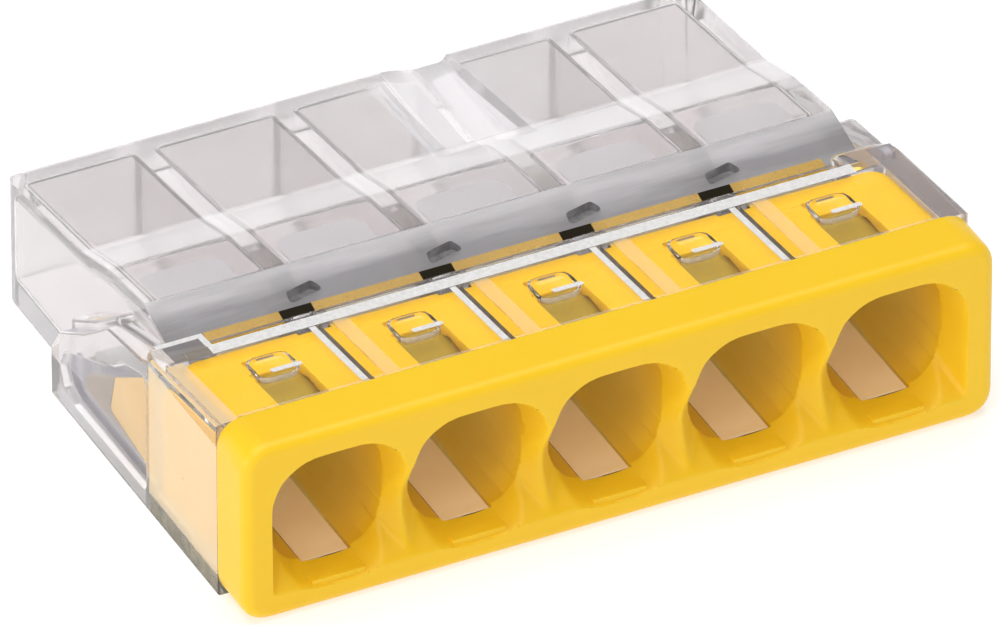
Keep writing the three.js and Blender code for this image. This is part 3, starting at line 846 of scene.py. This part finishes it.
def paint_housing(housing):
    """Gives each region of the housing its own finish, many of them painted highlights, reflections and
    shade.
    """
    finishes = {
        "clear": clear_plastic(), "hazy": hazy_plastic(), "frosted": frosted_and_highlight_plastic(),
        "smoky": smoky_painted_shade(), "milky": milky_painted_highlight(), "pad_glow": pad_painted_glow(),
        "dark": notch_painted_shade(), "painted_bright": bright_painted_light(), "shadow": shadow_plastic(),
        "amber_shade": amber_painted_shade(), "olive_shade": olive_painted_shade(), "black_shade": gap_painted_shade(),
        "peach": peach_painted_reflection(), "cheek_shade": cheek_painted_shade(),
    }
    names = list(finishes)
    housing.data.materials.clear()
    for material in finishes.values():
        housing.data.materials.append(material)
    painted_strip_list = painted_strips() + lug_highlight_and_shade()
    painted_panel_list = painted_side_panels()
    trough_shade = trough_painted_shade()
    for face in housing.data.polygons:
        x, y, z = face.center
        across, along, up = face.normal
        side = min(x, WIDTH - x)
        to_slot = min(abs(x - wall_x(p) - SLOT_OFFSET) for p in INNER_WALLS)
        to_pole = min(abs(x - pole_x(p)) for p in POLES)
        to_notch = min(abs(x - wall_x(p) - NOTCH_OFFSET) for p in INNER_WALLS)
        finish = "hazy" if y > TROUGH_END - 0.05 else "clear"
        # the shell around the scoop, painted bright
        if y > SCOOP_FRONT_TOP - 0.3 and SCOOP_SPAN[0] < x < SCOOP_SPAN[1]:
            finish = "painted_bright"
        # the rounded top edges beside the cover: painted reflection on the left, painted shade on the right
        if side < 0.45 and y < 5.6 and z > 4.6 and up > 0.15:
            finish = "peach" if x < WIDTH / 2 else "shadow"
        # the sloping top of the right wing
        if x > WIDTH - 0.4 and 5.6 < y < 11.6 and up > 0.1 and z > 1:
            finish = "shadow"
        # the pads' tops, in the funnels, with painted light
        if to_pole < WINDOW_HALF and y < PAD_END and 0.7 < z < 1 and up > 0.3:
            finish = "pad_glow"
        # the lugs' fronts, a painted highlight
        if to_pole < 0.6 and y < LUG_START + 0.2 and LUG_BOTTOM - 0.01 < z < 4.95 and along < -0.3:
            finish = "frosted"
        # the walls of the slots between the arms: those facing left in painted shade, the others frosted
        if to_slot < 0.1 and y < BAR_FRONT and z > 4.35 and abs(across) > 0.7:
            finish = "dark" if across < 0 else "frosted"
        # the bar's rear face
        if z > 4.3 and BAR_REAR - 0.1 < y < BAR_REAR + 0.02 and along > 0.5:
            finish = "frosted"
        # the roof's front slope, behind the trough, in painted shade
        if z > 4.4 and TROUGH_END - 0.1 < y < RIDGE[0] and up > 0.5 and along < -0.1:
            finish = "smoky"
        # the notches in that slope, in painted shade
        if to_notch < 0.56 and 6.5 < y < 7.15 and 4.6 < z < 4.9 and (up < 0.5 or z < NOTCH_FLOOR + THIN):
            finish = "dark"
        # the recesses in the wings: painted shade on their floors, painted light on their walls, and the
        # cheek's pane in painted shade
        if 0.05 < side < WING_POCKET_DEPTH + 0.02 and 5.85 < y < 11.2 and 0.48 < z < 4.3:
            finish = "shadow" if side > WING_POCKET_DEPTH - 0.005 else "painted_bright"
            if side > WING_POCKET_DEPTH + PANEL_DEPTH / 2:
                finish = "cheek_shade"
        # the strip at the rear of the trough, in painted shade
        if 6.0 < y < 6.41 and 4.6 < z < 4.72 and up > FLAT:
            for name, x0, x1 in trough_shade:
                if x0 < x < x1:
                    finish = name
        # the side panels: painted reflection, shade and light
        if abs(across) > 0.95:
            for name, x0, y0, y1, z0, z1 in painted_panel_list:
                if abs(side - x0 - PANEL_DEPTH) < PANEL_NEAR and y0 < y < y1 and z0 < z < z1:
                    finish = name
        # the strips on the cover: painted highlights, reflection and shade
        for name, x0, x1, y0, y1 in painted_strip_list:
            raised = z > cover_z(min(y, plate_reach(x0, x1))) + PLATE_RISE / 2
            within_x = x0 - STRIP_NEAR < x < x1 + STRIP_NEAR
            within_y = y0 - STRIP_NEAR < y < y1 + STRIP_NEAR
            if up > FLAT and raised and within_x and within_y:
                finish = name
        face.material_index = names.index(finish)


# ---- materials ----
def new_material(name):
    material = bpy.data.materials.new(name)
    material.use_nodes = True
    nodes = material.node_tree.nodes
    return material, nodes, material.node_tree.links, nodes["Principled BSDF"]


def add_noise(nodes, links, scale, detail=3.0, roughness=0.5, stretch=None):
    coordinates = nodes.new("ShaderNodeTexCoord")
    position = coordinates.outputs["Object"]
    if stretch:
        scaled = nodes.new("ShaderNodeVectorMath")
        scaled.operation = "MULTIPLY"
        scaled.inputs[1].default_value = stretch
        links.new(position, scaled.inputs[0])
        position = scaled.outputs["Vector"]
    texture = nodes.new("ShaderNodeTexNoise")
    texture.inputs["Scale"].default_value = scale
    texture.inputs["Detail"].default_value = detail
    texture.inputs["Roughness"].default_value = roughness
    links.new(position, texture.inputs["Vector"])
    return texture.outputs["Fac"]


def map_value(nodes, links, source, low, high):
    ramp = nodes.new("ShaderNodeMapRange")
    ramp.inputs["To Min"].default_value = low
    ramp.inputs["To Max"].default_value = high
    links.new(source, ramp.inputs["Value"])
    return ramp.outputs["Result"]


def add_bump(nodes, links, shader, height, strength, distance):
    bump = nodes.new("ShaderNodeBump")
    bump.inputs["Strength"].default_value = strength
    bump.inputs["Distance"].default_value = distance
    links.new(height, bump.inputs["Height"])
    links.new(bump.outputs["Normal"], shader.inputs["Normal"])


def mix_colours(nodes, links, factor, first, second):
    mix = nodes.new("ShaderNodeMix")
    mix.data_type = "RGBA"
    mix.inputs[6].default_value = (*first, 1)  # sockets 6 and 7 are its two colours
    mix.inputs[7].default_value = (*second, 1)
    links.new(factor, mix.inputs[0])
    return mix.outputs[2]


def yellow_surface(name, colour, other, fade=None):
    """A mottled opaque plastic. fade is another colour, and where it starts and is reached."""
    material, nodes, links, shader = new_material(name)
    base = mix_colours(nodes, links, add_noise(nodes, links, 260, 4), colour, other)
    if fade:
        faded, start, end = fade
        mix = nodes.new("ShaderNodeMix")
        mix.data_type = "RGBA"
        mix.inputs[7].default_value = (*faded, 1)
        links.new(rearward(nodes, links, start, end), mix.inputs[0])
        links.new(base, mix.inputs[6])
        base = mix.outputs[2]
    links.new(base, shader.inputs["Base Color"])
    gloss = map_value(nodes, links, add_noise(nodes, links, 2600), 0.34, 0.46)
    links.new(gloss, shader.inputs["Roughness"])
    add_bump(nodes, links, shader, add_noise(nodes, links, 5200, 2), 0.12, 0.00002)
    shader.inputs["IOR"].default_value = 1.4
    shader.inputs["Subsurface Weight"].default_value = 0.12
    shader.inputs["Subsurface Radius"].default_value = (1.0, 0.6, 0.1)
    shader.inputs["Subsurface Scale"].default_value = 0.0006
    return material


def yellow_plastic():
    return yellow_surface("yellow_plastic", (0.93, 0.57, 0.014), (0.97, 0.61, 0.02))


def passage_painted_light():
    """Painted light: the same yellow, made paler towards the throat to stand in for the light inside the
    passages.
    """
    pale = (0.93, 0.74, 0.20)
    return yellow_surface("passage_painted_light", (0.93, 0.58, 0.016), (0.97, 0.62, 0.022), (pale, 1.0, 3.3))


def window_painted_shade():
    """The windows' floors, painted dark as the shade under the cover."""
    return yellow_surface("window_painted_shade", (0.36, 0.25, 0.022), (0.46, 0.32, 0.03))


def covered_painted_shade():
    """The yellow seen through the clear cover, painted a little deeper and darker to offset the cover's
    reflection.
    """
    return yellow_surface("covered_painted_shade", (0.90, 0.53, 0.004), (0.94, 0.57, 0.008))


def gap_painted_shade():
    """Painted shade: near-black for the gaps between the insert's tubes and the black parts of the trough.
    """
    material = yellow_surface("gap_painted_shade", (0.008, 0.006, 0.002), (0.018, 0.013, 0.004))
    shader = material.node_tree.nodes["Principled BSDF"]
    shader.inputs["Specular IOR Level"].default_value = 0.08
    shader.inputs["Subsurface Weight"].default_value = 0
    return material


def rearward(nodes, links, start, end, ragged=0.0):
    """Grows from 0 to 1 between two distances from the front, with noise of this size on it."""
    coordinates = nodes.new("ShaderNodeTexCoord")
    split = nodes.new("ShaderNodeSeparateXYZ")
    ramp = nodes.new("ShaderNodeMapRange")
    ramp.inputs["From Min"].default_value = cad_low.y + start * MM
    ramp.inputs["From Max"].default_value = cad_low.y + end * MM
    links.new(coordinates.outputs["Object"], split.inputs["Vector"])
    links.new(split.outputs["Y"], ramp.inputs["Value"])
    if not ragged:
        return ramp.outputs["Result"]
    streaks = add_noise(nodes, links, 1400, 4, 0.6, (0.12, 1, 1))
    centred = map_value(nodes, links, streaks, -ragged, ragged)
    total = nodes.new("ShaderNodeMath")
    total.use_clamp = True
    links.new(ramp.outputs["Result"], total.inputs[0])
    links.new(centred, total.inputs[1])
    return total.outputs["Value"]


def see_through(name, tint, other, transmission, roughness, passed, streak_scale=420, fade=None):
    """A clear plastic with faint streaks on a slightly wavy surface. fade blends them rearward."""
    material, nodes, links, shader = new_material(name)
    shader.inputs["Transmission Weight"].default_value = transmission
    shader.inputs["IOR"].default_value = 1.49
    factor = rearward(nodes, links, *fade) if fade else add_noise(nodes, links, streak_scale, 3)
    links.new(mix_colours(nodes, links, factor, tint, other), shader.inputs["Base Color"])
    low, high = roughness
    gloss = map_value(nodes, links, add_noise(nodes, links, 1500), low, high)
    links.new(gloss, shader.inputs["Roughness"])
    add_bump(nodes, links, shader, add_noise(nodes, links, 330, 1), 0.35, 0.00005)
    pass_light(nodes, links, shader, passed)
    return material


def clear_plastic():
    return see_through(
        "clear_plastic", (0.94, 0.93, 0.94), (0.97, 0.96, 0.965), 1.0, (0.04, 0.09), (0.92, 0.92, 0.92)
    )


def hazy_plastic():
    return see_through(
        "hazy_plastic", (0.80, 0.77, 0.77), (0.88, 0.855, 0.85), 0.9, (0.06, 0.13), (0.85, 0.84, 0.855)
    )


# A rough white finish: frosted on the slots' right-facing walls and the bar's rear face; a painted
# highlight on the bar's top, beside each slot, on the left ledge, and over and on the front of each lug.
def frosted_and_highlight_plastic():
    return see_through(
        "frosted_and_highlight_plastic", (0.58, 0.57, 0.56), (1.0, 1.0, 0.99), 0.05, (0.35, 0.5), (0.95, 0.95, 0.95), 9000
    )


# Painted shade: grey on the roof's front slope that fades out rearward, and on the left end block.
def smoky_painted_shade():
    return see_through(
        "smoky_painted_shade", (0.22, 0.21, 0.22), (0.70, 0.68, 0.695), 0.35, (0.3, 0.4), (0.8, 0.8, 0.8),
        fade=(6.9, 7.9, 0.6),
    )


# Painted highlight: pale lines along the cover's front edge and beside each slot.
def milky_painted_highlight():
    return see_through(
        "milky_painted_highlight", (0.95, 0.88, 0.79), (0.98, 0.92, 0.84), 0.80, (0.15, 0.25), (0.95, 0.93, 0.9), 700
    )


# Painted reflection: the pale peach of the side panels and the left top edge, the insert's yellow under a
# reflection of the white surroundings.
def peach_painted_reflection():
    return see_through(
        "peach_painted_reflection", (0.94, 0.72, 0.42), (0.98, 0.78, 0.48), 0.4, (0.2, 0.3), (0.95, 0.9, 0.8), 700
    )


# Painted shade: the insert's yellow cheek as it looks in shade behind the pane.
def cheek_painted_shade():
    return see_through(
        "cheek_painted_shade", (0.74, 0.50, 0.22), (0.88, 0.62, 0.30), 0.3, (0.25, 0.35), (0.9, 0.8, 0.6), 500
    )


def pad_painted_glow():
    """Painted light: the pads are tinted tan and glow a little, standing in for light that reaches them
    through the clear floor.
    """
    material = see_through(
        "pad_painted_glow", (0.94, 0.72, 0.46), (1.0, 0.80, 0.53), 0.1, (0.35, 0.5), (0.6, 0.5, 0.4), 1200
    )
    shader = material.node_tree.nodes["Principled BSDF"]
    shader.inputs["Emission Color"].default_value = (1.0, 0.72, 0.42, 1)
    shader.inputs["Emission Strength"].default_value = 0.10
    return material


# Painted light: a lighter, less clear finish on the scoop's shell, the walls of the wing recesses and bands
# low on the sides.
def bright_painted_light():
    return see_through(
        "bright_painted_light", (0.90, 0.885, 0.90), (0.97, 0.96, 0.965), 0.72, (0.12, 0.2), (0.92, 0.92, 0.92)
    )


def shadow_plastic():
    return see_through(
        "shadow_plastic", (0.34, 0.325, 0.36), (0.44, 0.42, 0.46), 0.6, (0.16, 0.26), (0.7, 0.7, 0.72)
    )


# Painted shade: the insert's yellow as it looks in shade, on the strip at the rear of the trough.
def amber_painted_shade():
    return see_through(
        "amber_painted_shade", (0.42, 0.22, 0.008), (0.64, 0.36, 0.014), 0.25, (0.2, 0.35), (0.8, 0.7, 0.4), 700
    )


# Painted shade: the dark strip along the bottom of the sides.
def olive_painted_shade():
    return see_through(
        "olive_painted_shade", (0.08, 0.075, 0.05), (0.50, 0.44, 0.28), 0.45, (0.2, 0.35), (0.6, 0.6, 0.5), 2400
    )


# Painted shade: the notches, the left-facing walls of the slots and a line over each lug.
def notch_painted_shade():
    return see_through(
        "notch_painted_shade", (0.05, 0.05, 0.05), (0.35, 0.34, 0.35), 0.3, (0.3, 0.4), (0.6, 0.6, 0.6), 5000
    )


def pass_light(nodes, links, shader, colour):
    """Lets lamps shine straight through a clear surface, dimmed by colour."""
    through = nodes.new("ShaderNodeBsdfTransparent")
    through.inputs["Color"].default_value = (*colour, 1)
    light_path = nodes.new("ShaderNodeLightPath")
    mix = nodes.new("ShaderNodeMixShader")
    links.new(light_path.outputs["Is Shadow Ray"], mix.inputs["Fac"])
    links.new(shader.outputs["BSDF"], mix.inputs[1])
    links.new(through.outputs["BSDF"], mix.inputs[2])
    links.new(mix.outputs["Shader"], nodes["Material Output"].inputs["Surface"])


def metal(name, colour, other, roughness, scale):
    material, nodes, links, shader = new_material(name)
    shader.inputs["Metallic"].default_value = 1.0
    grain = add_noise(nodes, links, scale, 4)
    links.new(mix_colours(nodes, links, grain, colour, other), shader.inputs["Base Color"])
    low, high = roughness
    links.new(map_value(nodes, links, grain, low, high), shader.inputs["Roughness"])
    add_bump(nodes, links, shader, grain, 0.15, 0.00002)
    return material


# ---- camera, floor and light ----
AZIMUTH = math.radians(-26.2)
ELEVATION = math.radians(35.2)
VIEW_WIDTH = 25.87 * MM  # what the frame spans at the object
CAMERA_DISTANCE = 0.6
CORNER_TO_CENTRE = (6.60 * MM, 8.18 * MM)  # from the front-left-bottom corner, right and up in the view


def add_camera():
    back = Vector((
        math.sin(AZIMUTH) * math.cos(ELEVATION),
        -math.cos(AZIMUTH) * math.cos(ELEVATION),
        math.sin(ELEVATION),
    ))
    turn = (-back).to_track_quat("-Z", "Y")
    right = turn @ Vector((1, 0, 0))
    up = turn @ Vector((0, 1, 0))
    data = bpy.data.cameras.new("camera")
    data.sensor_width = 36
    data.lens = data.sensor_width * CAMERA_DISTANCE / VIEW_WIDTH
    data.clip_start = 0.01
    data.clip_end = 10
    camera = bpy.data.objects.new("camera", data)
    camera.rotation_mode = "QUATERNION"
    camera.rotation_quaternion = turn
    across, rise = CORNER_TO_CENTRE
    camera.location = cad_low + right * across + up * rise + back * CAMERA_DISTANCE
    bpy.context.scene.collection.objects.link(camera)
    bpy.context.scene.camera = camera


FLOOR_HALF = 0.6
FLOOR_GAP = 0.02 * MM


def add_floor():
    bm = bmesh.new()
    bmesh.ops.create_grid(bm, x_segments=1, y_segments=1, size=FLOOR_HALF)
    floor = from_bmesh("floor", bm)
    floor.location.z = cad_low.z - FLOOR_GAP
    material, nodes, links, shader = new_material("floor")
    links.new(
        mix_colours(nodes, links, add_noise(nodes, links, 40), (0.52, 0.52, 0.52), (0.55, 0.55, 0.55)),
        shader.inputs["Base Color"],
    )
    shader.inputs["Roughness"].default_value = 0.9
    shader.inputs["Emission Color"].default_value = (1, 1, 1, 1)
    shader.inputs["Emission Strength"].default_value = 0.56
    floor.data.materials.append(material)


def add_area(name, location, target, size, power):
    data = bpy.data.lights.new(name, "AREA")
    data.shape = "RECTANGLE"
    data.size, data.size_y = size
    data.energy = power
    light = bpy.data.objects.new(name, data)
    light.location = location
    light.rotation_mode = "QUATERNION"
    light.rotation_quaternion = (Vector(target) - Vector(location)).to_track_quat("-Z", "Y")
    bpy.context.scene.collection.objects.link(light)


BRIGHT_BELOW = 0.12  # the world's brightness, by the height that a ray points to
DARK_ABOVE = 0.42


def add_world():
    """A studio that is bright near the floor and darker above it."""
    world = bpy.data.worlds.new("studio")
    bpy.context.scene.world = world
    world.use_nodes = True
    nodes = world.node_tree.nodes
    links = world.node_tree.links
    coordinates = nodes.new("ShaderNodeTexCoord")
    split = nodes.new("ShaderNodeSeparateXYZ")
    ramp = nodes.new("ShaderNodeValToRGB")
    ramp.color_ramp.elements[0].position = BRIGHT_BELOW
    ramp.color_ramp.elements[0].color = (1.0, 1.0, 1.0, 1)
    ramp.color_ramp.elements[1].position = DARK_ABOVE
    ramp.color_ramp.elements[1].color = (0.14, 0.14, 0.145, 1)
    links.new(coordinates.outputs["Generated"], split.inputs["Vector"])
    links.new(split.outputs["Z"], ramp.inputs["Fac"])
    links.new(ramp.outputs["Color"], nodes["Background"].inputs["Color"])
    nodes["Background"].inputs["Strength"].default_value = 1.0


def add_lights():
    add_world()
    add_area("key", location=(-0.12, -0.16, 0.25), target=(0, 0, 0), size=(0.16, 0.12), power=0.22)
    add_area("top", location=(0.0, 0.02, 0.3), target=(0, 0, 0), size=(0.3, 0.24), power=0.72)
    add_area("side", location=(-0.3, -0.04, 0.07), target=(0, 0, 0.002), size=(0.2, 0.12), power=0.22)


BOUNCES = 32  # enough to see through all the clear walls


def set_render():
    scene = bpy.context.scene
    scene.view_settings.view_transform = "Standard"
    scene.cycles.max_bounces = BOUNCES
    scene.cycles.transmission_bounces = BOUNCES
    scene.cycles.transparent_max_bounces = BOUNCES
    scene.cycles.use_denoising = True


add_camera()
add_floor()
add_lights()
set_render()

tin = metal("tinned_copper", (0.80, 0.77, 0.72), (0.70, 0.66, 0.60), (0.22, 0.4), 900)
steel = metal("spring_steel", (0.84, 0.84, 0.85), (0.76, 0.76, 0.78), (0.5, 0.65), 1400)

insert = build_insert()
paint_insert(insert)
finish_piece(insert, "wire_entry_insert_detail", ["wire_entry_insert"], smooth=44)

housing = build_housing()
paint_housing(housing)
finish_piece(housing, "clear_housing_detail", ["transparent_housing"])

for name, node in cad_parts.items():
    if name.startswith("spring"):
        node.data.materials.clear()
        node.data.materials.append(steel)
    if name == "busbar":
        node.data.materials.clear()
        node.data.materials.append(tin)
